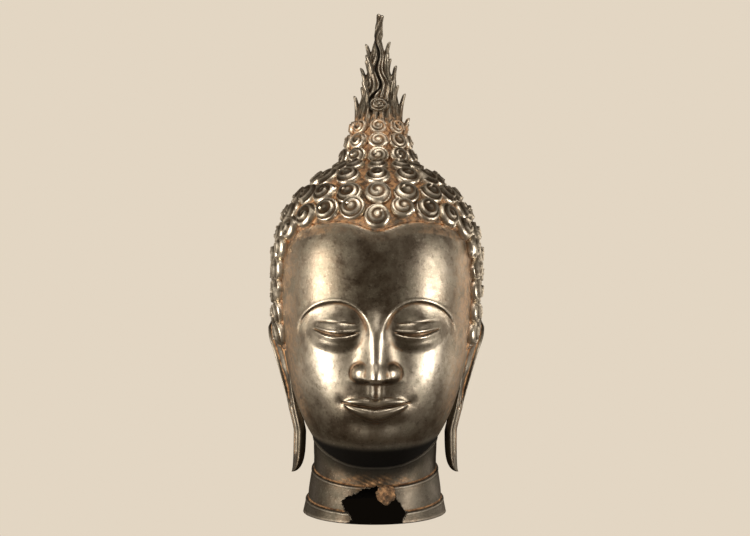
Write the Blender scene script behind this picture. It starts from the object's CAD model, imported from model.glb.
"""Dresses the packed solid of a hollow cast bronze head: skin, neck, ears, hair, flame and stage.

Forms are worked out in millimetres on the head's own axis, and place() sets them in the frame.
Turns are in radians round the axis: 0 is the front, and +pi/2 is the viewer's right.
"""

import math

import bpy
import numpy as np
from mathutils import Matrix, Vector


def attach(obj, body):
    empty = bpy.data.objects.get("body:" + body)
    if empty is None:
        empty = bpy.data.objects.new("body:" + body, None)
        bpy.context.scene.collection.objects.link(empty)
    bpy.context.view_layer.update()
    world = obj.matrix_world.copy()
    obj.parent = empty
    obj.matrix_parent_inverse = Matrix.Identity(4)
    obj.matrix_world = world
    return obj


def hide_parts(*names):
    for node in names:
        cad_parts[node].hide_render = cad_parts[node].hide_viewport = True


bl_info = {
    "name": "Cast Bronze Head",
    "version": (1, 0, 0),
    "blender": (4, 5, 0),
    "location": "View3D > Sidebar > Bronze Head",
    "description": "Builds a hollow bronze head with snail curls, a flame finial and a broken neck",
    "category": "Object",
}

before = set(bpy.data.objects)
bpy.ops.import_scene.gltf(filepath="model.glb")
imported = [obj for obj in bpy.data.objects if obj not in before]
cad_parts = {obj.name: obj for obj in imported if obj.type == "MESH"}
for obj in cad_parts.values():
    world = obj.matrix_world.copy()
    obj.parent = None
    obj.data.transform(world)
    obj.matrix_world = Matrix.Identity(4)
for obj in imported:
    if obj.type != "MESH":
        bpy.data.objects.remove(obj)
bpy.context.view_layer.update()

NODE = "buddha_head"
BODY = "root"
MM = 1000  # millimetres in a metre
FULL_TURN = 2 * math.pi
AXIS = np.array([0.4, 2.5, 0.0])  # where the head's axis stands in the frame, in mm
LEAN = 0.01  # the head leans by this share of its height to the viewer's right
LEAN_LEVEL = 199.0


# Numbers


def step(low, high, value):
    """Smooth change from 0 at low to 1 at high; low may be above high."""
    t = np.clip((value - low) / (high - low), 0, 1)
    return t * t * (3 - 2 * t)


def bell(value, centre, width):
    return np.exp(-(((value - centre) / width) ** 2))


def mix(a, b, t):
    return a + (b - a) * t


def oval(x, z, middle, level, wide, tall):
    """Distance from the middle of an oval: 1 is its rim."""
    return np.hypot((x - middle) / wide, (z - level) / tall)


def dome(distance, power):
    """A smooth hump inside a rim at distance 1."""
    return np.maximum(0, 1 - distance**2) ** power


def graded(bands):
    """Levels or degrees in bands, each given as its start, its end and its number of steps."""
    return np.concatenate([np.linspace(a, b, count, endpoint=False) for a, b, count in bands])


def place(points):
    """Head millimetres, leaned, to frame metres."""
    points = np.array(points, float)
    points[..., 0] += LEAN * (points[..., 2] - LEAN_LEVEL)
    return (points + AXIS) / MM


def around(turn, z, reach):
    return np.stack([reach * np.sin(turn), -reach * np.cos(turn), z + 0 * turn], axis=-1)


def turn_of(points):
    return np.arctan2(points[:, 0], -points[:, 1])


def from_front(turn):
    """Turn away from the front on either side, from 0 to pi."""
    return np.abs(np.arctan2(np.sin(turn), np.cos(turn)))


def signed(degrees):
    """Radians between -pi and pi for degrees between 0 and 360."""
    return math.radians(degrees - 360 if degrees > 180 else degrees)


# Pieces


def vertex_vectors(piece, key):
    flat = np.zeros(len(piece.data.vertices) * 3)
    piece.data.vertices.foreach_get(key, flat)
    return flat.reshape(-1, 3)


def coordinates(piece):
    return vertex_vectors(piece, "co")


def set_coordinates(piece, points):
    piece.data.vertices.foreach_set("co", np.asarray(points, np.float32).ravel())
    piece.data.update()


def head_points(piece):
    """A placed piece's vertices in head millimetres again."""
    points = coordinates(piece) * MM - AXIS
    points[:, 0] -= LEAN * (points[:, 2] - LEAN_LEVEL)
    return points


def paint(piece, name, values):
    """Keeps a number from 0 to 1 on every vertex for the finish to read."""
    layer = piece.data.attributes.get(name)
    layer = layer or piece.data.attributes.new(name, "FLOAT", "POINT")
    layer.data.foreach_set("value", np.clip(values, 0, 1).astype(np.float32))


def painted(piece, name):
    values = np.zeros(len(piece.data.vertices), np.float32)
    piece.data.attributes[name].data.foreach_get("value", values)
    return values


def alone(piece):
    bpy.ops.object.select_all(action="DESELECT")
    bpy.context.view_layer.objects.active = piece
    piece.select_set(True)


def named(name):
    piece = bpy.context.active_object
    piece.name = name
    piece.data.name = name
    return piece


def primitive(name, kind, **sizes):
    bpy.ops.object.select_all(action="DESELECT")
    getattr(bpy.ops.mesh, f"primitive_{kind}_add")(**sizes)
    return named(name)


def linked(name, mesh):
    piece = bpy.data.objects.new(name, mesh)
    bpy.context.scene.collection.objects.link(piece)
    return piece


def apply_modifier(piece, kind, **settings):
    alone(piece)
    modifier = piece.modifiers.new(kind.lower(), kind)
    for key, value in settings.items():
        setattr(modifier, key, value)
    bpy.ops.object.modifier_apply(modifier=modifier.name)


def smooth(piece):
    alone(piece)
    bpy.ops.object.shade_smooth()


def joined(pieces, name):
    alone(pieces[0])
    for piece in pieces:
        piece.select_set(True)
    bpy.ops.object.join()
    return named(name)


def sphere_grid(name, columns, rows, form):
    """A sphere with its vertices at form(column, row): row 0 is the top, column 0 the front."""
    piece = primitive(name, "uv_sphere", segments=columns, ring_count=rows, radius=1)
    at = coordinates(piece)
    row = np.rint(np.arccos(np.clip(at[:, 2], -1, 1)) / math.pi * rows).astype(int)
    column = np.rint(turn_of(at) / FULL_TURN * columns).astype(int) % columns
    set_coordinates(piece, form(column, row))
    return piece


def closed(row, rows, reach):
    """The reach, but nothing at the first and the last row, where a sphere grid closes."""
    return np.where((row == 0) | (row == rows), 0, reach)


def relief_map(piece, rounds, reach):
    """Shades a piece smooth and paints how hollow it is: 0 is a ridge, 1 a hollow of reach mm."""
    smooth(piece)
    points = coordinates(piece)
    count = len(points)
    edges = np.zeros(len(piece.data.edges) * 2, np.int64)
    piece.data.edges.foreach_get("vertices", edges)
    a, b = edges[0::2], edges[1::2]

    def gathered(at_a=None, at_b=None):
        return np.bincount(a, at_b, minlength=count) + np.bincount(b, at_a, minlength=count)

    links = np.maximum(gathered(), 1)
    soft = points.copy()
    for _ in range(rounds):
        total = np.stack([gathered(soft[a, i], soft[b, i]) for i in range(3)], axis=1)
        soft = 0.4 * soft + 0.6 * total / links[:, None]
    depth = ((soft - points) * vertex_vectors(piece, "normal")).sum(1) * MM
    paint(piece, "relief", 0.5 + 0.5 * depth / reach)


def give(piece, *materials):
    piece.data.materials.clear()
    for material in materials:
        piece.data.materials.append(material)


def keep(piece, *materials):
    """Sets a finished piece in the frame: it rides on the casting and stands for its solid."""
    if materials:
        give(piece, *materials)
    alone(piece)
    bpy.ops.object.transform_apply(location=True, rotation=True, scale=True)
    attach(piece, BODY)
    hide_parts(NODE)


# Forms of the head


EGG = dict(bottom=34, widest=192, top=285, side=79.5, front=90, back=93, square=2.25)
# the two powers of each profile of the egg, over its widest level and under it
PROFILES = dict(
    side=((2.6, 1.7), (2.0, 2.5)),
    front=((2.4, 2.3), (3.2, 3.1)),
    back=((2.6, 1.9), (2.2, 2.0)),
)
HAIRLINE = 231
CHIN = 54
THIRD = (HAIRLINE - CHIN) / 3
BROW = HAIRLINE - THIRD
NOSE_BASE = CHIN + THIRD
MOUTH = NOSE_BASE - THIRD / 3
WINDOW = dict(half=66, low=134, mid=165, top=236, dip=7, dip_turn=10)
NAPE = dict(front=134, back=92, start=82, end=150)
CROWN = dict(low=262, high=322, foot=41, waist=29, neck=16.8, knee=283)


def egg_share(z, powers):
    p, q = powers
    widest = EGG["widest"]
    half = np.where(z > widest, EGG["top"] - widest, widest - EGG["bottom"])
    t = np.minimum(1, np.abs(z - widest) / half)
    return np.maximum(1 - t**p, 0) ** (1 / q)


def egg_axes(z, inset=0.0):
    """Half widths of the egg at a level: side, front and back."""
    z = np.asarray(z, float)
    axes = []
    for key, (over, under) in PROFILES.items():
        share = np.where(z > EGG["widest"], egg_share(z, over), egg_share(z, under))
        axes.append(np.maximum(EGG[key] * share - inset, 1e-3))
    return axes


def egg_reach(turn, z, inset=0.0):
    """Distance from the axis to the egg in the direction of a turn."""
    side, front, back = egg_axes(z, inset)
    deep = np.where(np.cos(turn) > 0, front, back)
    n = EGG["square"]
    total = (np.abs(np.sin(turn)) / side) ** n + (np.abs(np.cos(turn)) / deep) ** n
    return total ** (-1 / n)


def window_turn(z):
    """Half turn, in degrees, of the bare face that the hairline frames."""
    t = np.clip((z - WINDOW["mid"]) / (WINDOW["top"] - WINDOW["mid"]), 0, 1)
    return WINDOW["half"] * (1 - t**4.2) ** (1 / 2.8)


def nape_level(degrees):
    return mix(NAPE["front"], NAPE["back"], step(NAPE["start"], NAPE["end"], degrees))


def hair_cover(turn, z):
    """1 on the hair and 0 on the skin, with a soft edge."""
    degrees = np.degrees(from_front(turn))
    crown = WINDOW["top"] - WINDOW["dip"] * bell(degrees, 0, WINDOW["dip_turn"])
    above = step(crown - 3, crown, z)
    edge, low = window_turn(z), WINDOW["low"]
    beside = step(edge - 1, edge + 2, degrees) * step(low - 2, low + 2, z)
    behind = step(NAPE["start"], NAPE["start"] + 6, degrees) * step(-2, 2, z - nape_level(degrees))
    return np.maximum(np.maximum(above, beside), behind)


def crown_radius(z):
    low = mix(CROWN["foot"], CROWN["waist"], step(CROWN["low"], CROWN["knee"], z))
    share = np.clip((z - CROWN["knee"]) / (CROWN["high"] - CROWN["knee"]), 0, 1) ** 0.85
    return np.where(z < CROWN["knee"], low, mix(CROWN["waist"], CROWN["neck"], share))


# The face


EYE_SIDE = 31  # from the middle of the face to the middle of an eye
EYE_HALF = 18.5
SOCKET_LEVEL = 148
EYEBALL_LEVEL = 152.5
LID_LEVEL = 148.4
LID_CURVE = 3.6
NOSE_TIP = 6.4  # level of the tip and of the wings over the nose's base
MOUTH_HALF = 25.0
CHIN_LEVEL = 66


def brow_and_socket(ax, z):
    """A rounded socket under a brow arch with a crisp edge."""
    rim, bowl, arch = 1.3, 2.6, 0.5
    q = oval(ax, z, EYE_SIDE, SOCKET_LEVEL, np.where(ax < EYE_SIDE, 26, 31), 26)
    upper = step(140, 160, z)
    hollow = -(rim * step(1.0, 0.95, q) + bowl * step(0.99, 0.5, q)) * upper
    return hollow + arch * bell(q, 1.03, 0.05) * upper * step(64, 52, ax)


def eye_form(ax, z):
    """A lowered lid over a round eyeball: a narrow curved opening, lid edges and a fold above."""
    bulge, slit, upper_edge, lower_edge, crease, fold_depth = 7.0, 1.8, 0.5, 0.45, 0.3, 0.6
    form = bulge * dome(oval(ax, z, EYE_SIDE, EYEBALL_LEVEL, 24, 19), 1.7)
    along = (ax - EYE_SIDE) / EYE_HALF
    inside = step(1.02, 0.8, np.abs(along))
    middle = LID_LEVEL + LID_CURVE * along**2 + 1.3 * along
    half = 1.5 * dome(along, 0.8)
    gap = z - middle
    form -= slit * step(half + 0.4, half - 0.4, np.abs(gap)) * inside
    form += upper_edge * bell(gap, half + 0.9, 0.7) * inside
    form += lower_edge * bell(gap, -half - 0.9, 0.6) * inside
    form -= crease * bell(gap, -half - 4.2, 1.6) * inside
    fold = z - (middle + 9.4 - LID_CURVE * along**2)
    return form - fold_depth * bell(fold, 0, 0.6) * step(1.0, 0.6, np.abs(along))


def soft_max(a, b, blend):
    return (a + b + np.sqrt((a - b) ** 2 + blend**2)) / 2


def nose_form(ax, z):
    """A straight bridge with hollow flanks, a round tip, grooved wings, and nostrils under it."""
    ball, wing_height, flank, groove, hole = 1.4, 8.0, 2.1, 0.55, 3.0
    along = np.clip((BROW - z) / THIRD, 0, 1)
    width = mix(7.6, 10.4, along)
    height = mix(3.2, 17.0, along**1.15) * step(BROW + 4, BROW - 22, z)
    under = step(NOSE_BASE - 2.6, NOSE_BASE + 3.0, z)
    form = height * np.exp(-((ax / width) ** 2.1))
    over_base = z - NOSE_BASE
    form += ball * dome(oval(ax, over_base, 0, NOSE_TIP, 9.5, 8.6), 1.5)
    wing = oval(ax, over_base, 10.8, NOSE_TIP, 8.2, 7.6)
    lobe = wing_height * np.maximum(0, 1 - wing**2.4) ** 0.62
    form = soft_max(form, lobe, 4.2) - flank * np.exp(-form / 2)
    beside = step(11, 15, ax) * step(NOSE_BASE - 1, NOSE_BASE + 3, z)
    form -= groove * bell(wing, 1.04, 0.09) * beside
    return form * under - hole * dome(oval(ax, over_base, 6.4, 0.2, 3.4, 1.8), 1)


def mouth_form(ax, z):
    """Two full lips with a rim, a calm closed line, a philtrum and a dimple at each corner."""
    half = MOUTH_HALF
    mound, upper, lower, rim, parting, dimple = 3.6, 3.2, 4.4, 0.6, 1.5, 0.9
    form = mound * bell(ax, 0, 30) * bell(z, MOUTH, 21)
    share = np.clip(1 - (ax / half) ** 2, 0, 1)
    line = MOUTH + 0.4 + 2.8 * (ax / half) ** 2 - 0.8 * bell(ax, 0, 5)
    top = line + 7.6 * share**0.62 - 1.5 * bell(ax, 0, 3.6) * share
    low = line - 9.8 * share**0.7
    above = np.clip((z - line) / np.maximum(top - line, 0.3), 0, 1)
    below = np.clip((line - z) / np.maximum(line - low, 0.3), 0, 1)
    upper_lip = np.sin(math.pi * above) ** 0.8 * (z < top)
    lower_lip = np.sin(math.pi * below) ** 0.8 * (z > low)
    form += share**0.6 * np.where(z > line, upper * upper_lip, lower * lower_lip)
    inner = step(half - 1, half - 10, ax)
    form += rim * (bell(z - top, 0.6, 1.0) + bell(z - low, -0.6, 1.0)) * inner
    form -= parting * bell(z - line, 0, 0.8) * step(half + 3, half - 2, ax)
    form -= dimple * bell(np.hypot(ax - half - 1.5, z - line), 0, 4.5)
    philtrum = step(top + 0.5, top + 3.5, z) * step(NOSE_BASE - 1, NOSE_BASE - 4, z)
    return form + (0.6 * bell(ax, 4.4, 1.8) - 0.8 * bell(ax, 0, 2.6)) * philtrum


def chin_form(ax, z):
    """A round chin with a hollow under the lips and a fine groove around its lower half."""
    ball, hollow, groove = 5.4, 1.2, 0.35
    form = ball * bell(oval(ax, z, 0, CHIN_LEVEL, 20, 15), 0, 0.85)
    form -= hollow * bell(ax, 0, 17) * bell(z, 80.5, 4.2)
    return form - groove * bell(oval(ax, z, 0, CHIN_LEVEL, 24, 17), 1, 0.035) * step(72, 60, z)


def face_relief(x, z):
    """How far the face stands forward of the egg, at a place seen from the front."""
    ax = np.abs(x)
    form = brow_and_socket(ax, z) + eye_form(ax, z) + nose_form(ax, z)
    form += mouth_form(ax, z) + chin_form(ax, z)
    cheek = 1.4
    return form + cheek * bell(ax, 43, 20) * bell(z, 121, 24)


# The neck


NECK = dict(rim_side=58.6, rim_deep=62.5, throat_side=50.5, throat_deep=54, shift=3)
FOLDS = ((27.6, 18.0), (7.5, 9.0))  # front level and rise to the nape of each fold line
FOLD_DEPTH = 1.7
FOLD_LIP = 0.45


def neck_axes(z):
    flare = np.clip(1 - z / 45, 0, 1) ** 1.25
    return (
        mix(NECK["throat_side"], NECK["rim_side"], flare),
        mix(NECK["throat_deep"], NECK["rim_deep"], flare),
    )


def fold_height(turn, z, fold):
    level, rise = fold
    return z - level - rise * (1 - np.cos(turn)) / 2


def fold_relief(turn, z):
    relief = 0 * z
    for fold in FOLDS:
        over = fold_height(turn, z, fold)
        relief = relief - FOLD_DEPTH * step(-0.5, 0.6, over) * np.exp(-np.maximum(over, 0) / 6.5)
        relief = relief + FOLD_LIP * bell(over, -1.0, 1.1)
    return relief


def neck_point(turn, z, inset=0.0, relief=True):
    side, deep = neck_axes(np.maximum(z, 0))
    extra = fold_relief(turn, z) if relief else 0
    x = (side + extra - inset) * np.sin(turn)
    y = NECK["shift"] - (deep + extra - inset) * np.cos(turn)
    return np.stack([x, y, z + 0 * turn], axis=-1)


# Places of the curls


FIRST_CURL = 237.6  # level of the curl over the middle of the brow
RINGS = ((255.2, 1.0), (268.4, 1.0), (277.6, 0.82))  # level and curl size of the full rings
SIDE_TOP = 243.0  # level of the first ring that starts beside the hairline
FILL_TOP = 266
BEHIND_EAR = (79, 111)  # degrees without curls up to the next level
EAR_TOP = 161


def spot_on_egg(turn, z):
    return around(np.float64(turn), np.float64(z), egg_reach(turn, z))


def egg_frame(turn, z):
    """The directions sideways, up and out from a spot on the egg."""
    side = spot_on_egg(turn + 0.01, z) - spot_on_egg(turn - 0.01, z)
    up = spot_on_egg(turn, z + 0.5) - spot_on_egg(turn, z - 0.5)
    outward = np.cross(side, up)
    side, outward = side / np.linalg.norm(side), outward / np.linalg.norm(outward)
    return side, np.cross(outward, side), outward


def crown_frame(turn, z):
    side = np.array([math.cos(turn), math.sin(turn), 0])
    slope = float(crown_radius(z - 1) - crown_radius(z + 1)) / 2
    outward = np.array([math.sin(turn), -math.cos(turn), slope])
    outward /= np.linalg.norm(outward)
    return side, np.cross(outward, side), outward


def half_girth(level):
    side, front, back = (float(v) for v in egg_axes(level))
    return math.pi * (side + (front + back) / 2)


def bare(degrees, level):
    """True under the nape's edge and behind the ears."""
    away = min(degrees, 360 - degrees)
    behind_ear = level < EAR_TOP and BEHIND_EAR[0] < away < BEHIND_EAR[1]
    return level < nape_level(away) + 5 or behind_ear


def egg_curl_places(pitch, side_pitch, row_gap):
    """Turn, level and size of each curl: a hairline row, rings, then any gap that is left."""
    places, spots = [], []
    lowest = NAPE["back"] + 4

    def clear(turn, z, gap):
        spot = spot_on_egg(turn, z)
        return all(np.linalg.norm(other - spot) > gap for other in spots)

    def add(turn, z, share=1.0):
        places.append((turn, z, share))
        spots.append(spot_on_egg(turn, z))

    add(0.0, FIRST_CURL)
    walk = [np.linspace(WINDOW["top"], 230, 300), np.arange(230, WINDOW["low"] + 4, -0.25)]
    for side in (1, -1):
        last = spots[0]
        for z in np.concatenate(walk):
            slope = float(step(WINDOW["mid"] + 10, WINDOW["top"] - 3, z))
            turn = side * math.radians(float(window_turn(z)) + (1 - slope) * 6.2)
            level = z + slope * pitch * 0.42
            gap = np.linalg.norm(spot_on_egg(turn, level) - last)
            if gap >= mix(side_pitch, pitch, slope):
                add(turn, level)
                last = spots[-1]
    for level, share in RINGS:
        count = round(half_girth(level) / pitch / share)
        for i in range(count):
            add((i / count * 2 - (2 if i > count / 2 else 0)) * math.pi, level, share)
    level, ring = SIDE_TOP, 0
    while level > lowest:
        start = 0
        while window_turn(level) > start or not clear(math.radians(start), level, pitch * 0.9):
            start += 1
        span = 360 - 2 * start
        steps = 2 * math.floor(half_girth(level) * span / 360 / pitch / 2 + 0.5) + ring % 2
        for i in range(steps + 1):
            degrees = start + span * i / steps
            turn = signed(degrees)
            if not bare(degrees, level) and clear(turn, level, pitch * 0.8):
                add(turn, level)
        level -= row_gap
        ring += 1
    for level in np.arange(FILL_TOP, lowest, -2.0):
        for degrees in range(0, 360, 2):
            turn = signed(degrees)
            haired = hair_cover(turn, level - 5) > 0.9 and not bare(degrees, level)
            if haired and clear(turn, level, pitch * 0.86):
                add(turn, level)
    spots = np.array(spots)
    sized = []
    for (turn, z, share), spot in zip(places, spots):
        room = np.sort(np.linalg.norm(spots - spot, axis=1))[1:4].mean()
        sized.append((turn, z, min(share, min(1.0, max(0.9, room / pitch + 0.08)))))
    return sized


# Finishes


class Nodes:
    """Adds and links the nodes of a material or of the room."""

    def __init__(self, owner):
        owner.use_nodes = True
        self.tree = owner.node_tree

    def feed(self, socket, value):
        if isinstance(value, bpy.types.NodeSocket):
            self.tree.links.new(value, socket)
        else:
            socket.default_value = value

    def node(self, kind, inputs, **settings):
        made = self.tree.nodes.new(kind)
        for key, value in settings.items():
            setattr(made, key, value)
        for key, value in inputs.items():
            self.feed(made.inputs[key], value)
        return made


class Finish(Nodes):
    """A material drawn with nodes, on the piece's own coordinates and painted numbers."""

    def __init__(self, name):
        self.material = bpy.data.materials.new(name)
        super().__init__(self.material)
        self.shader = self.tree.nodes["Principled BSDF"]
        self.where = self.node("ShaderNodeTexCoord", {}).outputs["Object"]

    def noise(self, scale, detail=5.0, rough=0.6):
        inputs = {"Vector": self.where, "Scale": scale, "Detail": detail, "Roughness": rough}
        return self.node("ShaderNodeTexNoise", inputs).outputs[0]

    def painted(self, name):
        return self.node("ShaderNodeAttribute", {}, attribute_name=name).outputs["Fac"]

    def span(self, source, low, high, out_low=0.0, out_high=1.0):
        """Smooth change from out_low at low to out_high at high."""
        inputs = {"Value": source, 1: low, 2: high, 3: out_low, 4: out_high}
        made = self.node("ShaderNodeMapRange", inputs, interpolation_type="SMOOTHSTEP")
        return made.outputs[0]

    def math(self, kind, a, b, clamp):
        made = self.node("ShaderNodeMath", {0: a, 1: b}, operation=kind, use_clamp=clamp)
        return made.outputs[0]

    def plus(self, a, b, clamp=False):
        return self.math("ADD", a, b, clamp)

    def times(self, a, b):
        return self.math("MULTIPLY", a, b, False)

    def blend(self, share, a, b):
        """Colour a, or b where the share is 1."""
        made = self.node("ShaderNodeMix", {"Factor": share}, data_type="RGBA")
        for index, value in ((6, a), (7, b)):
            is_node = isinstance(value, bpy.types.NodeSocket)
            self.feed(made.inputs[index], value if is_node else (*value[:3], 1))
        return made.outputs[2]

    def set(self, name, source):
        self.feed(self.shader.inputs[name], source)


# dust and rub are shares of rust-brown dust and of polished metal, and dim darkens the metal
BRONZES = {
    "skin bronze": dict(dust=0.16, rub=0.35, rough=0.35, grain=1.1, dim=1.0),
    "neck bronze": dict(dust=0.45, rub=0.6, rough=0.48, grain=1.5, dim=0.36),
    "broken edge": dict(dust=1.0, rub=0.2, rough=0.65, grain=3.0, dim=0.5),
    "ear bronze": dict(dust=0.8, rub=0.7, rough=0.42, grain=1.2, dim=0.5),
    "hair ground bronze": dict(dust=1.0, rub=0.3, rough=0.55, grain=2.8, dim=0.9),
    "curl bronze": dict(dust=0.12, rub=0.8, rough=0.38, grain=1.4, dim=1.2),
    "flame bronze": dict(dust=0.25, rub=0.9, rough=0.42, grain=1.4, dim=0.8),
}
SOOT = (0.003, 0.002, 0.001)
GLOSS = 0.12
BUMP_STRENGTH = 0.55
BUMP_METRES = 0.0004


def bronze(name, colours):
    """Patinated bronze: dark in hollows, rubbed on ridges, with rust-brown dust and soot."""
    f = Finish(name)
    share = BRONZES[name]
    rough = share["rough"]
    patina, polish, olive = (
        tuple(channel * share["dim"] for channel in tone)
        for tone in (colours.patina, colours.rubbed, colours.olive)
    )
    dark = tuple(colours.dark)
    relief, dust, soot, rubbed = (f.painted(key) for key in ("relief", "dust", "soot", "rubbed"))
    broad, cloudy = f.noise(16), f.noise(70, 6, 0.65)
    grit, fine = f.noise(240, 6, 0.7), f.noise(620, 5, 0.7)
    hollow = f.span(f.plus(relief, f.times(grit, 0.12)), 0.62, 0.86)
    ridge = f.span(f.plus(relief, f.times(cloudy, 0.1)), 0.5, 0.26)
    # the metal, from its patina to the polish of many hands
    worn = f.plus(f.times(ridge, share["rub"]), f.span(broad, 0.42, 0.68, 0.0, 0.3), True)
    worn = f.plus(worn, f.times(rubbed, f.span(grit, 0.3, 0.6, 1.0, 0.6)), True)
    metal = f.blend(worn, patina, polish)
    cool = f.times(f.span(cloudy, 0.35, 0.7, 0.0, 0.6), f.span(worn, 0.3, 0.9, 1.0, 0.25))
    metal = f.blend(cool, metal, olive)
    metal = f.blend(f.span(grit, 0.52, 0.72, 0.0, 0.5), metal, dark)
    metal = f.blend(f.span(fine, 0.56, 0.7, 0.0, 0.4), metal, polish)
    metal = f.blend(f.span(fine, 0.42, 0.34, 0.0, 0.55), metal, dark)
    metal = f.blend(f.times(hollow, 0.85), metal, dark)
    # the dust that lies in hollows and where it is painted
    patchy = f.span(f.plus(f.times(hollow, 0.5), f.times(cloudy, 0.9)), 0.62, 0.9)
    laid = f.times(dust, f.span(grit, 0.32, 0.56, 0.3, 1.0))
    rust = f.math("MAXIMUM", f.times(patchy, share["dust"]), laid, True)
    earth = f.blend(f.span(grit, 0.38, 0.62), tuple(colours.rust), tuple(colours.ochre))
    earth = f.blend(f.span(cloudy, 0.5, 0.66, 0.0, 0.75), earth, dark)
    f.set("Base Color", f.blend(soot, f.blend(rust, metal, earth), SOOT))
    bright = f.times(f.span(rust, 0.1, 0.8, 1.0, 0.15), f.span(soot, 0.2, 1.0, 1.0, 0.0))
    f.set("Metallic", bright)
    shine = f.span(cloudy, 0.3, 0.7, rough - 0.07, rough + 0.1)
    for layer, amount in ((rust, 0.4), (soot, 0.5), (hollow, 0.12)):
        shine = f.plus(shine, f.times(layer, amount), True)
    f.set("Roughness", shine)
    f.set("Specular IOR Level", GLOSS)
    height = f.plus(f.times(grit, 0.5), f.times(fine, 0.3))
    height = f.plus(height, f.times(rust, f.times(f.noise(900, 3), 1.2)))
    depth = BUMP_METRES * share["grain"]
    inputs = {"Height": height, "Strength": BUMP_STRENGTH, "Distance": depth}
    f.set("Normal", f.node("ShaderNodeBump", inputs).outputs[0])
    return f.material


# Sizes and colours


def length(name, about, default):
    return bpy.props.FloatProperty(name=name, description=about, default=default, unit="LENGTH")


def power(name, about, default):
    about = f"Power of {about} in watts"
    return bpy.props.FloatProperty(name=name, description=about, default=default, min=0)


def colour(name, about, default):
    return bpy.props.FloatVectorProperty(
        name=name, description=about, default=default, size=3, subtype="COLOR", min=0, max=1
    )


class CastingSizes(bpy.types.PropertyGroup):
    """Sizes of the casting's parts."""

    wall: length("Wall", "Thickness of the hollow casting", 0.005)
    curl_pitch: length("Curl pitch", "Distance between neighbouring curls", 0.02)
    curl_side_pitch: length("Side pitch", "Distance between the curls beside the face", 0.0174)
    curl_row: length("Curl row", "Distance between rows of curls", 0.0162)
    curl_radius: length("Curl radius", "Half the width of one snail curl", 0.0102)
    curl_rise: length("Curl rise", "Height of a curl's tip over its ground", 0.0066)
    crown_curl_radius: length("Crown curl radius", "Half the width of a crown curl", 0.0088)
    crown_curl_rise: length("Crown curl rise", "Height of a crown curl", 0.0045)
    flame_radius: length("Flame radius", "Half width of the flame at its foot", 0.0215)
    flame_tip: length("Flame tip", "Level of the flame's highest point", 0.408)
    ear_thick: length("Ear thickness", "Thickness of the ears", 0.0082)


class CastingColours(bpy.types.PropertyGroup):
    """Colours of the bronze and its dust."""

    patina: colour("Patina", "The bronze's dark brown skin", (0.17, 0.128, 0.088))
    rubbed: colour("Rubbed", "Bronze polished by hands", (0.62, 0.54, 0.43))
    olive: colour("Olive", "Cool grey-green cast in the patina", (0.2, 0.18, 0.13))
    dark: colour("Hollows", "The patina in hollows", (0.035, 0.024, 0.015))
    rust: colour("Rust", "Deep rust-brown dust", (0.24, 0.1, 0.042))
    ochre: colour("Ochre", "Light orange dust", (0.74, 0.42, 0.2))
    ground: colour("Floor", "Pale floor and backdrop", (0.767, 0.672, 0.546))


class StageSizes(bpy.types.PropertyGroup):
    """The camera and the lights."""

    distance: length("Camera distance", "From the camera to the head's axis", 1.106)
    height: length("Camera height", "Level of the camera over the floor", 0.199)
    shift: length("Camera side step", "Camera's place to the right of the axis", -0.0016)
    lens: bpy.props.FloatProperty(
        name="Lens", description="Focal length in mm", default=64.75, unit="CAMERA"
    )
    strip_power: power("Strip power", "each tall strip light", 14.5)
    rim_power: power("Rim power", "each strip behind the head", 2.7)
    top_power: power("Top power", "the overhead light", 6.0)


def settings():
    return bpy.context.scene.bronze_sizes, bpy.context.scene.bronze_colours


# Operators


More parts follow.
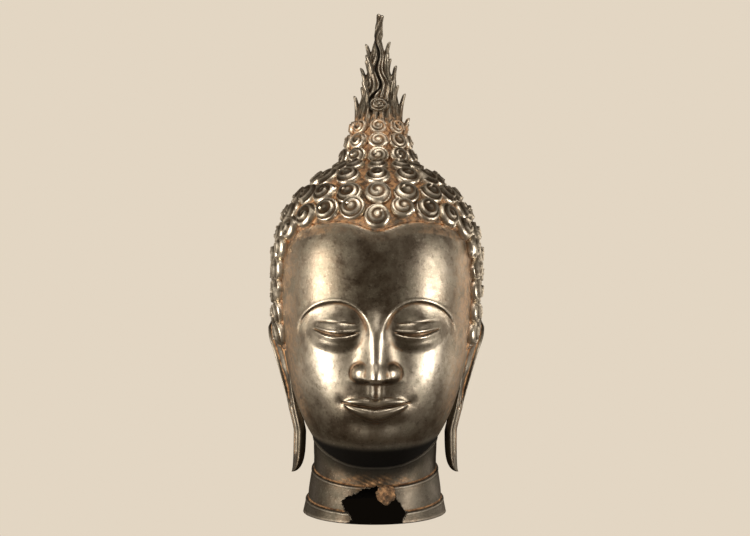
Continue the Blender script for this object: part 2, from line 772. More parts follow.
class HEAD_OT_skin(bpy.types.Operator):
    """Make the hollow head with its face"""

    bl_idname = "bronze_head.skin"
    bl_label = "Head and face"

    # rows of the outside: level from, level to and their number, closest over the eyes and nose
    BANDS = (
        (285, 243, 7),
        (243, 180, 56),
        (180, 137, 56),
        (137, 122, 16),
        (122, 106, 34),
        (106, 80, 36),
        (80, 44, 36),
    )
    SPREAD = ((0, 40, 64), (40, 68, 32), (68, 180, 32))  # columns, in degrees, close on the face
    INSIDE_ROWS = 30
    JOIN = (100, 44)  # between these levels the rows close in on the neck
    JOIN_LOWEST = 38.0
    UNDER_HAIR = 2.5  # how far the skin ducks under the hair
    # polished ovals of the face: share, middle, level, half width and half height
    POLISHED = (
        (1, 45, 122, 21, 34),  # cheek
        (0.7, 32, 158, 22, 15),  # eye
        (0.6, 0, 74, 17, 8),  # chin
        (0.5, 58, 196, 10, 30),  # temple
    )

    def execute(self, context):
        sizes, colours = settings()
        wall = sizes.wall * MM
        half = graded(self.SPREAD)
        turns = np.radians(np.concatenate([half, [180], -half[:0:-1]]))
        outer = graded(self.BANDS)
        inner = np.linspace(0, 1, self.INSIDE_ROWS) ** 0.9
        low = self.join_level(turns, wall)
        start, end = self.JOIN

        def form(column, row):
            turn = turns[column]
            z = outer[np.minimum(row, len(outer) - 1)]
            share = np.clip((start - z) / (start - end), 0, 1)
            z = mix(z, mix(start, low[column], share), step(0, 0.3, share))
            hidden = self.UNDER_HAIR * step(0.1, 0.9, hair_cover(turn, z))
            reach = np.where(z >= EGG["top"] - 1e-6, 0, egg_reach(turn, z) - hidden)
            skin = around(turn, z, np.maximum(reach, 0))
            facing = step(0.1, 0.6, np.cos(turn)) * step(44, 56, z) * step(242, 230, z)
            skin[:, 1] -= face_relief(skin[:, 0], z) * facing
            up = inner[np.clip(row - len(outer), 0, len(inner) - 1)]
            z_in = mix(low[column], EGG["top"] - wall, up)
            within = neck_point(turn, z_in, wall + 1.2, relief=False)
            room = around(turn, z_in, np.where(up >= 1, 0, egg_reach(turn, z_in, wall)))
            cave = np.where((step(0, 16, z_in - low[column]) > 0.5)[:, None], room, within)
            return place(np.where((row < len(outer))[:, None], skin, cave))

        piece = sphere_grid("head_skin", len(turns), len(outer) + len(inner) - 1, form)
        relief_map(piece, 14, 0.55)
        self.weather(piece)
        keep(piece, bronze("skin bronze", colours))
        return {"FINISHED"}

    def join_level(self, turns, wall):
        """Level at each turn where the head's skin has passed into the neck's wall."""
        levels = np.arange(98.0, 36.0, -0.25)
        side, deep = neck_axes(levels)
        found = []
        for turn in turns:
            at = around(turn + 0 * levels, levels, egg_reach(turn, levels))
            share = oval(at[:, 0], at[:, 1], 0, NECK["shift"], side - wall / 2, deep - wall / 2)
            inside = np.nonzero(share < 1)[0]
            found.append(levels[inside[0]] if len(inside) else self.JOIN_LOWEST)
        return np.array(found)

    def weather(self, piece):
        """Dust and a brown film at the hairline, soot under the jaw and inside, rubbed places."""
        at = head_points(piece)
        turn, z, ax = turn_of(at), at[:, 2], np.abs(at[:, 0])
        inner = np.hypot(at[:, 0], at[:, 1]) < egg_reach(turn, z) - 3.5
        jaw = step(68, 57, z - 10 * (1 - np.cos(turn)))
        paint(piece, "soot", np.maximum(inner, jaw))
        nose = bell(ax, 0, 7) * step(MOUTH - 16, MOUTH - 4, z) * step(BROW + 4, BROW - 12, z)
        places = [share * bell(oval(ax, z, *spot), 0, 1) for share, *spot in self.POLISHED]
        worn = np.max([nose, *places], axis=0) * (np.cos(turn) > 0)
        paint(piece, "rubbed", 0.85 * worn)
        dust = 0.9 * step(0.1, 0.6, hair_cover(turn, z + 0.9)) * (z > 60)
        degrees = np.degrees(np.abs(turn))
        beside = bell(degrees, 58, 13) * step(60, 90, z) * step(232, 200, z)
        under_hair = hair_cover(turn, z + 9) * mix(0.25, 1, step(12, 32, degrees)) * (z > 200)
        paint(piece, "dust", np.max([dust, 0.34 * beside, 0.27 * under_hair], axis=0))


class HEAD_OT_neck(bpy.types.Operator):
    """Make the ringed neck and break it open at the front"""

    bl_idname = "bronze_head.neck"
    bl_label = "Neck and break"

    COLUMNS, OUTSIDE_ROWS, INSIDE_ROWS = 320, 104, 40
    TOP, TOP_RISE = 60, 9  # level of the upper edge in front, and half its rise to the nape
    # corners of the break, seen from the front
    BREAK = (
        (-22.5, -4), (-21.8, 0), (-17.5, 2.8), (-19.4, 5.9), (-23.7, 10.7), (-25.6, 16.9),
        (-20.6, 20.6), (-13.2, 23.1), (-9.5, 26.9), (0.4, 28), (9, 28), (15.2, 24),
        (17, 18), (20.1, 14.5), (25.2, 7), (22.4, 3.6), (21, -4),
    )
    CUT_FROM, CUT_DEPTH = -85.0, 0.05  # mm in front of the axis, and metres to the back
    TAB_SIZE, TAB_SPOT = [7.2, 3.4, 7.4], [8.6, NECK["shift"] - 58.2, 21.8]

    def execute(self, context):
        sizes, colours = settings()
        piece = self.ring(sizes.wall * MM)
        broken = bronze("broken edge", colours)
        give(piece, bronze("neck bronze", colours), broken)
        self.cut(piece, broken)
        keep(self.with_tab(piece))
        return {"FINISHED"}

    def ring(self, wall):
        """The whole neck: a torus whose section becomes the outside and the inside of the wall."""
        rows, inner_rows = self.OUTSIDE_ROWS, self.INSIDE_ROWS
        minor = rows + inner_rows
        sizes = dict(major_segments=self.COLUMNS, minor_segments=minor)
        piece = primitive("neck", "torus", major_radius=1, minor_radius=0.3, **sizes)
        at = coordinates(piece)
        turn = turn_of(at)
        section = np.arctan2(at[:, 2], np.hypot(at[:, 0], at[:, 1]) - 1)
        index = (np.rint(section / FULL_TURN * minor).astype(int) + minor // 4) % minor
        outer = index < rows
        share = np.where(outer, index / (rows - 1), (index - rows) / (inner_rows - 1))
        top = self.TOP + self.TOP_RISE * (1 - np.cos(turn))
        z = np.where(outer, share * top, (1 - share) * top)
        inside = neck_point(turn, z, wall, relief=False)
        shape = np.where(outer[:, None], neck_point(turn, z), inside)
        under_jaw = self.jaw_line(turn) - z
        shape[:, :2] *= (1 + 0.018 * bell(under_jaw, 1.3, 0.9) * outer)[:, None]
        chipped = 0.06 * np.sin(turn * 9) * np.sin(turn * 23) + 0.06
        shape[:, 2] += np.where(z < 0.5, chipped, 0)
        set_coordinates(piece, place(shape))
        paint(piece, "dust", self.dust(turn, z, outer))
        shaded = 0.3 + 0.55 * bell(turn, 0, 0.75)
        shaded = shaded * step(15, 1, under_jaw) * step(-0.5, 0.5, under_jaw)
        paint(piece, "soot", np.where(outer, shaded, 1))
        relief_map(piece, 10, 0.5)
        return piece

    @staticmethod
    def jaw_line(turn):
        """Level at each turn where the neck comes out of the head."""
        levels = np.arange(36.0, 100.0, 0.5)
        side, deep = neck_axes(levels)
        samples = np.linspace(0, math.pi, 91)
        found = []
        for t in samples:
            reach = egg_reach(t, levels)
            share = oval(reach * np.sin(t), reach * np.cos(t), 0, -NECK["shift"], side, deep)
            found.append(levels[np.argmax(share > 1)])
        return np.interp(from_front(turn), samples, found)

    @staticmethod
    def dust(turn, z, outer):
        """Blotchy dust in the fold lines and along the rim, most at the front over the break."""
        near = 0 * z
        for fold in FOLDS:
            near = np.maximum(near, bell(fold_height(turn, z, fold), 0.9, 0.8))
        near = np.maximum(near, 0.6 * bell(z, 0, 2.0) * outer)
        front = bell(turn, 0, 0.5)
        blotch = 0.5 + 0.5 * np.sin(turn * 31 + z * 0.7) * np.sin(z * 1.3 + turn * 17)
        patch = front * bell(z, 31, 4.5) * blotch**2
        return np.maximum(near * mix(0.08, 0.4, front) * (0.3 + 0.7 * blotch), patch) * outer

    def outline(self):
        """The broken edge with a point every millimetre or so and small seeded notches."""
        rng = np.random.default_rng(7)
        notch = 0.5
        points = []
        for (xa, za), (xb, zb) in zip(self.BREAK, self.BREAK[1:] + self.BREAK[:1]):
            steps = max(1, int(math.hypot(xb - xa, zb - za)))
            for i in range(steps):
                jag = rng.normal(0, notch, 2) if -3 < za < 30 and i else (0, 0)
                points.append((mix(xa, xb, i / steps) + jag[0], mix(za, zb, i / steps) + jag[1]))
        return points

    def cut(self, piece, broken):
        """Cuts the outline through the front wall; the cut takes the broken finish."""
        points = self.outline()
        circle = dict(vertices=len(points), radius=1, fill_type="NGON")
        cutter = primitive("break_cutter", "circle", **circle)
        set_coordinates(cutter, place([(x, self.CUT_FROM, z) for x, z in points]))
        bpy.ops.object.mode_set(mode="EDIT")
        bpy.ops.mesh.select_all(action="SELECT")
        move = {"value": (0, self.CUT_DEPTH, 0)}
        bpy.ops.mesh.extrude_region_move(TRANSFORM_OT_translate=move)
        bpy.ops.mesh.select_all(action="SELECT")
        bpy.ops.mesh.normals_make_consistent(inside=False)
        bpy.ops.object.mode_set(mode="OBJECT")
        give(cutter, broken)
        apply_modifier(piece, "BOOLEAN", object=cutter, operation="DIFFERENCE", solver="EXACT")
        bpy.data.objects.remove(cutter)

    def with_tab(self, piece):
        """Adds the lump that still hangs from the top of the break."""
        tab = primitive("break_tab", "ico_sphere", subdivisions=4, radius=1)
        at = coordinates(tab)
        x, z = at[:, 0], at[:, 2]
        rough = 1 + 0.1 * np.sin(x * 5.1 + 1) * np.sin(z * 6.3) + 0.07 * np.sin(at @ [9.0, 7, 11])
        form = at * rough[:, None] * self.TAB_SIZE
        form[:, 0] *= 1 + 0.12 * z
        set_coordinates(tab, place(form + self.TAB_SPOT))
        paint(tab, "dust", 0.5 + 0.3 * np.sin(x * 9) * np.sin(z * 7))
        paint(tab, "soot", 0 * x)
        paint(tab, "relief", 0.5 + 0 * x)
        give(tab, *piece.data.materials)
        broken = np.ones(len(tab.data.polygons), np.int32)
        tab.data.polygons.foreach_set("material_index", broken)
        smooth(tab)
        return joined([piece, tab], "neck")


class HEAD_OT_ears(bpy.types.Operator):
    """Make both ears with their long stretched lobes"""

    bl_idname = "bronze_head.ears"
    bl_label = "Ears"

    COLUMNS, ROWS = 96, 260
    LOW, HIGH = 32.0, 158.0
    YAW = math.radians(21)  # how far the ears' faces turn to the front
    LOBE_OUT, SHELL_OUT = 68.6, 95.4  # distance of the outer edge from the axis
    LOBE_HALF, SHELL_MORE = 8.2, 11.5  # half width of the lobe, and what the shell has more
    LOBE_LEVEL, SHELL_LEVEL = 66, 150

    def execute(self, context):
        sizes, colours = settings()
        finish = bronze("ear bronze", colours)
        for name, side in (("ear_right", 1), ("ear_left", -1)):

            def form(column, row):
                down = row / self.ROWS
                z = mix(self.HIGH, self.LOW, mix(down, (1 - np.cos(down * math.pi)) / 2, 0.6))
                points = self.surface(column / self.COLUMNS * FULL_TURN, z, sizes.ear_thick * MM)
                return place(points * [side, 1, 1])

            piece = sphere_grid(name, self.COLUMNS, self.ROWS, form)
            if side < 0:
                alone(piece)
                bpy.ops.object.mode_set(mode="EDIT")
                bpy.ops.mesh.select_all(action="SELECT")
                bpy.ops.mesh.flip_normals()
                bpy.ops.object.mode_set(mode="OBJECT")
            relief_map(piece, 12, 0.5)
            paint(piece, "dust", 0.9 * step(0.6, 0.9, painted(piece, "relief")))
            keep(piece, finish)
        return {"FINISHED"}

    def surface(self, angle, z, thick):
        """The right ear: a flat shell with a bowl, a knob and lines in its face."""
        bowl, knob_height, knob_ring, cross_line = 4.4, 3.2, 1.2, 1.0
        t = (z - self.LOW) / (self.HIGH - self.LOW)
        ends = np.sqrt(np.maximum(0, 1 - np.abs(2 * t - 1) ** 7))
        half = (self.LOBE_HALF + self.SHELL_MORE * bell(z, 135, 30)) * ends
        rise = (z - self.LOBE_LEVEL) / (self.SHELL_LEVEL - self.LOBE_LEVEL)
        outer = mix(self.LOBE_OUT, self.SHELL_OUT, np.clip(rise, 0, 1) ** 1.15)
        outer = outer - 9 * np.clip((z - 136) / 22, 0, 1) ** 2
        sin, cos = np.sin(self.YAW), np.cos(self.YAW)
        x = outer - half * sin - thick * ends / 2 * cos
        y = 0.5 + 9.5 * step(self.LOBE_LEVEL, self.SHELL_LEVEL, z)
        across = -np.sign(np.cos(angle)) * np.abs(np.cos(angle)) ** 0.75
        through = np.sign(np.sin(angle)) * np.abs(np.sin(angle)) ** 0.6
        shell = step(84, 100, z) * step(self.HIGH - 2, self.HIGH - 9, z)
        helix = 1 - 0.75 * bell(across, 0.08, 0.2) * step(104, 118, z)
        carve = bowl * shell * (step(0.93, 0.72, np.abs(across)) * helix)
        knob = np.hypot(across * half + 9, z - 137) / 5.5
        carve = carve - knob_height * dome(knob, 1) * shell + knob_ring * bell(knob, 0.45, 0.16)
        lines = 1.5 * bell(across, 0.28, 0.13) + 1.2 * bell(across, -0.36, 0.12)
        carve = carve + step(42, 50, z) * step(98, 88, z) * lines
        under_shell = bell(z, 88 + 6 * across, 1.4) * step(0.9, 0.5, np.abs(across))
        carve = carve + cross_line * under_shell
        along = across * half
        out = through * thick / 2 * ends - carve * step(0.2, 0.6, through) * ends
        x, y = x + along * sin + out * cos, y + along * cos - out * sin
        return np.stack([x, y, z], axis=-1)


class HEAD_OT_hair(bpy.types.Operator):
    """Make the ground of the hair and of the crown that the curls sit on"""

    bl_idname = "bronze_head.hair"
    bl_label = "Hair ground"

    # levels of the rows, as bands and the lowest row
    EGG_ROWS = (((285, 262, 20), (262, 84, 150)), 43)
    CROWN_ROWS = (((323.5, 321, 6), (321, 262, 54)), 255)
    CROWN_LIP = 324.5  # the crown's ground rounds over just under this level
    BURIED, PROUD = -3.5, 1.1  # height over the egg under the skin and under the curls
    GRIT_SCALE, GRIT_STRENGTH = 0.0035, 0.0012

    def execute(self, context):
        _, colours = settings()
        finish = bronze("hair ground bronze", colours)

        def egg(turn, z):
            reach = egg_reach(turn, z) + mix(self.BURIED, self.PROUD, hair_cover(turn, z))
            return np.where(z < 88, np.maximum(reach - 8, 0), np.maximum(reach, 0))

        def crown(turn, z):
            rounded = np.sqrt(np.clip((self.CROWN_LIP - z) / 3, 0, 1))
            return (crown_radius(z) + 0.6) * rounded

        self.ground("hair_ground", 200, self.EGG_ROWS, egg, finish)
        self.ground("crown_ground", 120, self.CROWN_ROWS, crown, finish)
        return {"FINISHED"}

    def ground(self, name, columns, levels, reach, finish):
        bands, lowest = levels
        levels = np.append(graded(bands), lowest)
        rows = len(levels) - 1

        def form(column, row):
            turn, z = column / columns * FULL_TURN, levels[row]
            return place(around(turn, z, closed(row, rows, reach(turn, z))))

        piece = sphere_grid(name, columns, rows, form)
        grit = bpy.data.textures.new(name + "_grit", "CLOUDS")
        grit.noise_scale = self.GRIT_SCALE
        grit.noise_depth = 3
        push = dict(strength=self.GRIT_STRENGTH, mid_level=0.5, texture_coords="LOCAL")
        apply_modifier(piece, "DISPLACE", texture=grit, **push)
        relief_map(piece, 3, 0.5)
        paint(piece, "dust", np.full(len(piece.data.vertices), 0.8))
        keep(piece, finish)


class HEAD_OT_curls(bpy.types.Operator):
    """Make one snail curl and set copies of it over the head and the crown"""

    bl_idname = "bronze_head.curls"
    bl_label = "Snail curls"

    CROWN_SQUASH = 0.86  # the crown's curls are wider than tall
    CROWN_ROWS = ((288.5, 10, 1.0), (301, 9, 0.95), (313, 8, 0.78))  # level, count and size
    SIDES, LAPS = 15, 2  # points to a lap, and laps of the ridge
    RIDGE_AT = 0.42  # where the ridge runs between one groove and the next one inwards
    TIP = 1.07
    SKIRT, SKIRT_LOW = 1.05, -0.6  # the rim's foot, wider and under the ground
    LIFT = 1.6  # mm from the egg to a curl's foot

    def execute(self, context):
        sizes, colours = settings()
        pitches = sizes.curl_pitch * MM, sizes.curl_side_pitch * MM, sizes.curl_row * MM
        copies = []
        for turn, z, size in egg_curl_places(*pitches):
            radius, rise = sizes.curl_radius * size, sizes.curl_rise * mix(0.5, 1, size)
            copies.append((spot_on_egg(turn, z), egg_frame(turn, z), radius, radius, rise))
        for z, count, share in self.CROWN_ROWS:
            wide, rise = sizes.crown_curl_radius * share, sizes.crown_curl_rise * share
            for i in range(count):
                turn = i / count * FULL_TURN
                spot = around(np.float64(turn), np.float64(z), crown_radius(z))
                tall = wide * self.CROWN_SQUASH
                copies.append((spot, crown_frame(turn, z), wide, tall, rise))
        rng = np.random.default_rng(11)
        model = self.model()
        pieces = [self.copy(model, rng, *copy) for copy in copies]
        bpy.data.objects.remove(model)
        piece = joined(pieces, "curls")
        relief_map(piece, 2, 0.5)
        self.dust(piece)
        keep(piece, bronze("curl bronze", colours))
        return {"FINISHED"}

    @staticmethod
    def dust(piece):
        """Adds the dust that half buries the topmost curls to what lies at every curl's foot."""
        x, y, z = (coordinates(piece) * MM).T
        patch = 0.5 + 0.5 * np.sin(x * 0.8 + 2) * np.sin(z * 0.9 + y * 0.5)
        top = 0.8 * patch * step(290, 316, z)
        paint(piece, "dust", np.maximum(painted(piece, "dust"), top))

    @classmethod
    def model(cls):
        """A unit curl: a ridge wound round a knob, growing from nothing at the round rim."""
        n = cls.SIDES
        steps = n * (cls.LAPS + 1)
        wound = n * cls.LAPS + 1
        lap = np.arange(steps + 1) / n
        groove = np.interp(lap, [0, 0.5, 1, 2, 3], [1.0, 1.0, 0.94, 0.52, 0.2])
        height = np.interp(lap, [0, 1, 2, 3], [0.1, 0.16, 0.5, 0.9])
        crest = np.interp(lap, [0, 0.4, 1, 2], [0.05, 0.28, 0.46, 0.42])
        cos, sin = np.cos(lap * FULL_TURN), np.sin(lap * FULL_TURN)
        points, faces = [], []
        for i in range(steps + 1):
            points.append((groove[i] * cos[i], groove[i] * sin[i], height[i]))
            if i < wound:
                r = mix(groove[i], groove[i + n], cls.RIDGE_AT)
                top = mix(height[i], height[i + n], cls.RIDGE_AT) + crest[i]
                points.append((r * cos[i], r * sin[i], top))
        at = [2 * i if i < wound else wound + i for i in range(steps + 1)]  # the groove's points
        for i in range(wound - 1):
            a, b = at[i], at[i + 1]
            faces += [(a, b, b + 1, a + 1), (a + 1, b + 1, at[i + n + 1], at[i + n])]
        tip = len(points)
        points.append((0, 0, cls.TIP))
        faces += [(at[i], at[i + 1], tip) for i in range(wound - 1, steps)]
        faces.append((at[wound - 1], tip, at[steps], at[wound - 1] + 1))
        rim = at[: n + 1] + [1]
        foot = len(points)
        for x, y, _ in [points[i] for i in rim]:
            points.append((x * cls.SKIRT, y * cls.SKIRT, cls.SKIRT_LOW))
        for i in range(len(rim)):
            j = (i + 1) % len(rim)
            faces.append((rim[j], rim[i], foot + i, foot + j))
        faces.append(tuple(foot + i for i in reversed(range(len(rim)))))
        mesh = bpy.data.meshes.new("curl_model")
        mesh.from_pydata(points, [], faces)
        return linked("curl_model", mesh)

    def copy(self, model, rng, spot, axes, wide, tall, rise):
        """A curl with its own mesh, turned, sized and tilted by chance, set on its spot."""
        side, up, outward = axes
        piece = linked("curl", model.data.copy())
        at = coordinates(piece)
        spin = rng.uniform(0, FULL_TURN)
        size = MM * rng.uniform(0.96, 1.05)
        high = rise * MM * rng.uniform(0.92, 1.08)
        tilt = rng.normal(0, 0.04, 2)
        x = (at[:, 0] * math.cos(spin) - at[:, 1] * math.sin(spin)) * size * wide
        y = (at[:, 0] * math.sin(spin) + at[:, 1] * math.cos(spin)) * size * tall
        z = at[:, 2] * high + x * tilt[0] + y * tilt[1]
        form = spot + np.outer(x, side) + np.outer(y, up) + np.outer(z + self.LIFT, outward)
        set_coordinates(piece, place(form))
        paint(piece, "dust", 0.9 * step(0.0, -0.5, at[:, 2]))
        return piece


class HEAD_OT_flame(bpy.types.Operator):
    """Make the flame finial from a fluted core and tiers of tongues"""

    bl_idname = "bronze_head.flame"
    bl_label = "Flame"

    FOOT = 313.0
    SLENDER = dict(level=386, radius=3.1)  # over this level the cone is a slender strip
    TOP = 400.0  # here the strip parts into two prongs
    SPIRAL = dict(level=331.0, turn=0.02, sizes=(8, 6, 3.6))
    STRANDS, THREADS = 8, 21  # half as many broad and fine flutes as lie round the cone
    TONGUE_LEAN = 4.2  # how far a tongue leans out from its foot to its tip
    # foot, tip, reach and half width of a tier's tongues, degrees to the small tongue beside
    # each, and their turns in degrees
    TIERS = (
        (316, 340.5, 21.0, 6.0, 14, (90, 180, 270)),
        (327, 351, 17.2, 5.4, 14, (50, 135, 225, 310)),
        (339, 363.5, 14.8, 5.0, 14, (90, 180, 270)),
        (349, 373, 11.8, 4.2, 14, (50, 135, 225, 310)),
        (359, 383, 10.0, 3.8, 14 * 1.4, (90, 180, 270)),
        (304, 320, 25.6, 4.6, 14, (80,)),
    )
    UNEVEN = (1.6, -0.8, -0.3, 0)  # added to the tips of a tier, one by one
    SMALL = dict(tip=4.4, reach=0.4, width=0.6)  # lower, closer in and narrower than its neighbour
    PRONGS = ((0.3, 1.9, 262), (1.6, 2.6, 82))  # how far under the tip, reach and degrees
    VOXEL = 0.00042

    def execute(self, context):
        sizes, colours = settings()
        tip, base = sizes.flame_tip * MM, sizes.flame_radius * MM
        pieces = [self.core(base)]
        for low, high, reach, width, apart, turns in self.TIERS:
            for i, turn in enumerate(turns):
                end = high + self.UNEVEN[i]
                pieces.append(self.tongue(low, end, reach, turn, width, i))
                beside = turn + (apart if turn < 180 else -apart)
                end, small_reach = end - self.SMALL["tip"], reach - self.SMALL["reach"]
                small = low, end, small_reach, beside, width * self.SMALL["width"], i + 1
                pieces.append(self.tongue(*small))
        for i, (under, reach, turn) in enumerate(self.PRONGS):
            prong = self.SLENDER["level"], tip - under, reach, turn, 2.1, i
            pieces.append(self.tongue(*prong, prong=True))
        pieces.append(self.root_spiral(base))
        piece = joined(pieces, "flame")
        apply_modifier(piece, "REMESH", mode="VOXEL", voxel_size=self.VOXEL, use_smooth_shade=True)
        relief_map(piece, 7, 0.26)
        self.weather(piece, base)
        keep(piece, bronze("flame bronze", colours))
        return {"FINISHED"}

    def weather(self, piece, base):
        """Blotchy dust at the root, and soot in the deep groove and between the strands."""
        x, _, z = (coordinates(piece) * MM).T
        blotch = 0.35 + 0.5 * np.sin(x * 0.9 + 1) * np.sin(z * 0.6)
        paint(piece, "dust", step(332, 314, z) * blotch)
        at = head_points(piece)
        turn = turn_of(at)
        valley = bell(np.sin(self.strand_phase(turn, z, base)), 0, 0.3) * step(404, 380, z)
        shaded = step(-0.2, -0.8, turn) * step(-1.8, -1.2, turn)
        soot = np.maximum(self.groove(at[:, 0], at), valley * mix(0.55, 0.85, shaded))
        paint(piece, "soot", soot)

    def radius(self, z, base):
        share = (self.SLENDER["level"] - z) / (self.SLENDER["level"] - self.FOOT)
        return mix(self.SLENDER["radius"], base, np.clip(share, 0, 1))

    def sway(self, z):
        return 1.1 * np.sin((z - self.FOOT) * 0.07) * step(self.FOOT, self.FOOT + 40, z)

    @staticmethod
    def wander(z):
        """Sideways wandering of the strands and of the deep groove at the front."""
        return 1.9 * np.sin((z - 341) * 0.24) * step(324, 342, z)

    def strand_phase(self, turn, z, base):
        drift = self.wander(z) / self.radius(z, base)
        return (turn - drift) * self.STRANDS + 0.5 * np.sin(turn * 3)

    def groove(self, x, at):
        """1 in the deep groove that winds up the front, for points at x beside the axis."""
        z = at[..., 2]
        path = -0.7 - 6.5 * step(349, 333, z) + self.wander(z)
        deep = bell(x - self.sway(z) - path, 0, 1.25) * (at[..., 1] < 0)
        return deep * step(320, 330, z) * step(402, 388, z)

    def core(self, base):
        """The cone with its strands, fine threads and the deep groove."""
        columns, rows = 288, 320
        end = self.TOP + 3

        def form(column, row):
            turn = column / columns * FULL_TURN
            z = mix(end, self.FOOT, row / rows)
            full = self.radius(z, base)
            drift = self.wander(z) / full
            rib = np.abs(np.sin(self.strand_phase(turn, z, base))) ** 0.9
            line = (turn - drift) * self.THREADS + 0.6 * np.sin(z * 0.2)
            line = np.abs(np.sin(line)) ** 0.8
            share = step(self.TOP, self.TOP - 50, z)
            r = full - mix(0.5, 2.3, share) * (1 - rib) - mix(0.1, 0.55, share) * (1 - line)
            r = r * np.sqrt(np.clip((end - z) / 5, 0, 1))
            at = around(turn, z, full)
            cut = self.groove(at[:, 0] + self.sway(z), at)
            r = r - np.minimum(3.2, full * 0.55) * cut
            point = around(turn, z, closed(row, rows, np.maximum(r, 0.2)))
            point[:, 0] += self.sway(z)
            return place(point)

        return sphere_grid("flame_core", columns, rows, form)

    def tongue(self, low, high, reach, turn, width, phase, prong=False):
        """A strap that stands off the cone, with a blunt tip that flicks out; a prong stands."""
        turn = math.radians(turn)
        lean = 0 if prong else self.TONGUE_LEAN
        tip_width, wave, crease_depth, flick = 1.7, 0.8, 0.4, 1.4
        columns, rows = 32, 64

        def form(column, row):
            t = 1 - row / rows
            z = mix(low, high, t)
            angle = column / columns * FULL_TURN
            end = closed(row, rows, np.sqrt(np.clip((1 - t) / 0.07, 0, 1)))
            end = end * np.clip(0.4 + t * 4, 0, 1)
            across = np.sin(angle) * mix(width, tip_width, t**0.8) * end
            across = across + wave * np.sin(t * 5 + phase * 2) * t
            crease = crease_depth * np.abs(np.sin(angle * 2.5 + t * 2)) * end
            half = 1.9 if prong else mix(3.0, 1.4, t)
            deep = reach - lean * (1 - t) - half * t + flick * t**4
            deep = deep + np.cos(angle) * half * end - crease
            x = deep * math.sin(turn) + across * math.cos(turn) + self.sway(z)
            y = -deep * math.cos(turn) + across * math.sin(turn)
            return place(np.stack([x, y, z], axis=-1))

        return sphere_grid("flame_tongue", columns, rows, form)

    def root_spiral(self, base):
        """The small spiral that the flame springs from, at the front."""
        model = HEAD_OT_curls.model()
        level, turn = np.float64(self.SPIRAL["level"]), np.float64(self.SPIRAL["turn"])
        side, outward = np.array([1.0, 0, 0]), np.array([0, -0.99, 0.15])
        form = around(turn, level, self.radius(level, base) - 0.6)
        axes = side, np.cross(outward, side), outward
        for values, size, axis in zip(coordinates(model).T, self.SPIRAL["sizes"], axes):
            form = form + np.outer(values * size, axis)
        set_coordinates(model, place(form))
        return model


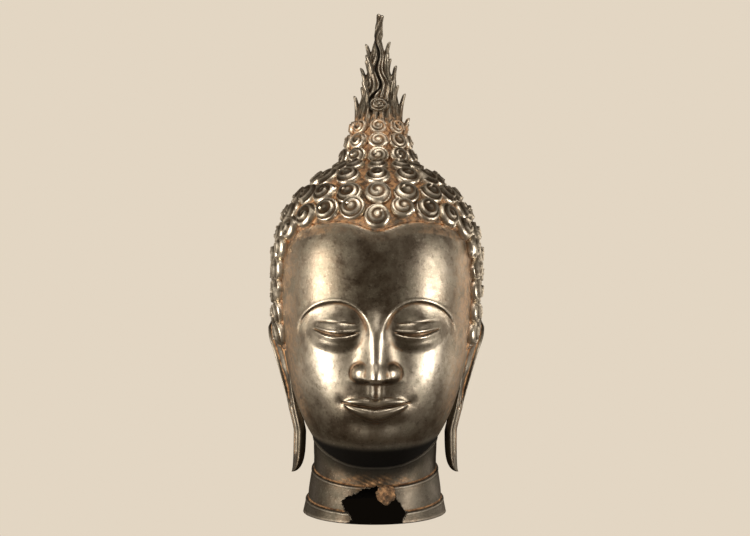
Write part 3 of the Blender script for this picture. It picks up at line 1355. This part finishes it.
class HEAD_OT_stage(bpy.types.Operator):
    """Make the pale floor, the soft studio lights and the camera"""

    bl_idname = "bronze_head.stage"
    bl_label = "Stage"

    AIM = Vector((0, 0, 0.2))
    # the power that sets each light and its share of it, degrees from the front, distance and
    # height, its width and length, and its colour
    LIGHTS = {
        "strip_left": ("strip_power", 1.0, -62, 1.15, 0.1, (0.36, 0.66), (1.0, 0.96, 0.89)),
        "strip_right": ("strip_power", 0.68, 62, 1.15, 0.04, (0.3, 0.54), (1.0, 0.98, 0.94)),
        "rim_left": ("rim_power", 0.4, -122, 1.1, 0.2, (0.4, 0.8), (1.0, 0.93, 0.82)),
        "rim_right": ("rim_power", 1.0, 122, 1.1, 0.2, (0.4, 0.8), (1.0, 0.93, 0.82)),
        "top_soft": ("top_power", 1.0, 0, 0.55, 1.15, (0.6, 0.4), (1.0, 0.96, 0.9)),
    }
    ROOM_LIGHT, ROOM_STRENGTH = (0.9, 0.69, 0.47, 1), 0.10
    FLOOR_SIZE, FLOOR_DROP = 40, 0.0005
    # the dark disc on the floor inside the neck: the neck's own middle, its depth against its
    # width, and the half widths where the dark ends
    INSIDE_MIDDLE, INSIDE_STRETCH = (0.0016, -0.0052, 0.0), (1, 0.93, 0)
    INSIDE_EDGE = (0.0570, 0.0573)
    INSIDE_COLOUR = (0.004, 0.003, 0.002)
    SENSOR = 36

    def execute(self, context):
        _, colours = settings()
        stage = context.scene.bronze_stage
        self.floor(colours.ground)
        self.world(colours.ground)
        for name, (setting, share, *spot_and_look) in self.LIGHTS.items():
            self.lamp(name, getattr(stage, setting) * share, *spot_and_look)
        self.camera(stage)
        context.scene.view_settings.view_transform = "Standard"
        context.scene.view_settings.look = "None"
        return {"FINISHED"}

    def floor(self, pale):
        """A floor that glows as pale as the room behind it, and is dark inside the neck."""
        floor = primitive("floor", "grid", x_subdivisions=2, y_subdivisions=2, size=self.FLOOR_SIZE)
        floor.location.z = -self.FLOOR_DROP
        f = Finish("pale floor")
        mapping = {"Vector": f.where, "Location": self.INSIDE_MIDDLE, "Scale": self.INSIDE_STRETCH}
        spread = f.node("ShaderNodeMapping", mapping).outputs[0]
        away = f.node("ShaderNodeVectorMath", {0: spread}, operation="LENGTH").outputs["Value"]
        shade = f.blend(f.span(away, *self.INSIDE_EDGE), self.INSIDE_COLOUR, tuple(pale))
        glow = f.node("ShaderNodeEmission", {"Color": shade, "Strength": 1.0}).outputs[0]
        f.feed(f.tree.nodes["Material Output"].inputs["Surface"], glow)
        give(floor, f.material)
        floor.visible_glossy = floor.visible_diffuse = floor.visible_shadow = False

    def world(self, pale):
        """A pale room to look at, and a weak warm light from all around."""
        world = bpy.data.worlds.new("studio")
        bpy.context.scene.world = world
        n = Nodes(world)
        seen = n.tree.nodes["Background"]
        seen.inputs[0].default_value = (*pale, 1)
        lit = n.node("ShaderNodeBackground", {0: self.ROOM_LIGHT, 1: self.ROOM_STRENGTH})
        looked_at = n.node("ShaderNodeLightPath", {}).outputs["Is Camera Ray"]
        shaders = {0: looked_at, 1: lit.outputs[0], 2: seen.outputs[0]}
        both = n.node("ShaderNodeMixShader", shaders).outputs[0]
        n.feed(n.tree.nodes["World Output"].inputs[0], both)

    def lamp(self, name, watts, degrees, distance, height, size, tint):
        turn = math.radians(degrees)
        spot = Vector((math.sin(turn) * distance, -math.cos(turn) * distance, height))
        bpy.ops.object.light_add(type="AREA", location=spot)
        lamp = bpy.context.active_object
        lamp.name = name
        lamp.data.shape = "RECTANGLE"
        lamp.data.size, lamp.data.size_y = size
        lamp.data.energy = watts
        lamp.data.color = tint
        lamp.rotation_euler = (self.AIM - spot).to_track_quat("-Z", "Y").to_euler()

    def camera(self, stage):
        """A level camera in front of the head."""
        spot = (stage.shift + AXIS[0] / MM, -stage.distance + AXIS[1] / MM, stage.height)
        bpy.ops.object.camera_add(location=spot, rotation=(math.pi / 2, 0, 0))
        camera = bpy.context.active_object
        camera.data.lens = stage.lens
        camera.data.sensor_width = self.SENSOR
        camera.data.sensor_fit = "HORIZONTAL"
        camera.data.clip_start = 0.05
        bpy.context.scene.camera = camera


class HEAD_PT_panel(bpy.types.Panel):
    """The head's sizes, colours and parts"""

    bl_idname = "HEAD_PT_panel"
    bl_label = "Bronze Head"
    bl_space_type = "VIEW_3D"
    bl_region_type = "UI"
    bl_category = "Bronze Head"

    def draw(self, context):
        layout = self.layout
        for operator in OPERATORS:
            layout.operator(operator.bl_idname)
        for name, group in GROUPS.items():
            box = layout.box()
            box.label(text=group.__doc__)
            for key in group.__annotations__:
                box.prop(getattr(context.scene, name), key)


OPERATORS = (
    HEAD_OT_stage,
    HEAD_OT_skin,
    HEAD_OT_neck,
    HEAD_OT_ears,
    HEAD_OT_hair,
    HEAD_OT_curls,
    HEAD_OT_flame,
)
GROUPS = {
    "bronze_sizes": CastingSizes,
    "bronze_colours": CastingColours,
    "bronze_stage": StageSizes,
}


def register():
    for item in (*GROUPS.values(), *OPERATORS, HEAD_PT_panel):
        bpy.utils.register_class(item)
    for name, group in GROUPS.items():
        setattr(bpy.types.Scene, name, bpy.props.PointerProperty(type=group))


def unregister():
    for name in GROUPS:
        delattr(bpy.types.Scene, name)
    for item in (HEAD_PT_panel, *reversed(OPERATORS), *reversed(GROUPS.values())):
        bpy.utils.unregister_class(item)


def main():
    register()
    bpy.ops.bronze_head.stage()
    bpy.ops.bronze_head.skin()
    bpy.ops.bronze_head.neck()
    bpy.ops.bronze_head.ears()
    bpy.ops.bronze_head.hair()
    bpy.ops.bronze_head.curls()
    bpy.ops.bronze_head.flame()


if __name__ == "__main__":
    main()
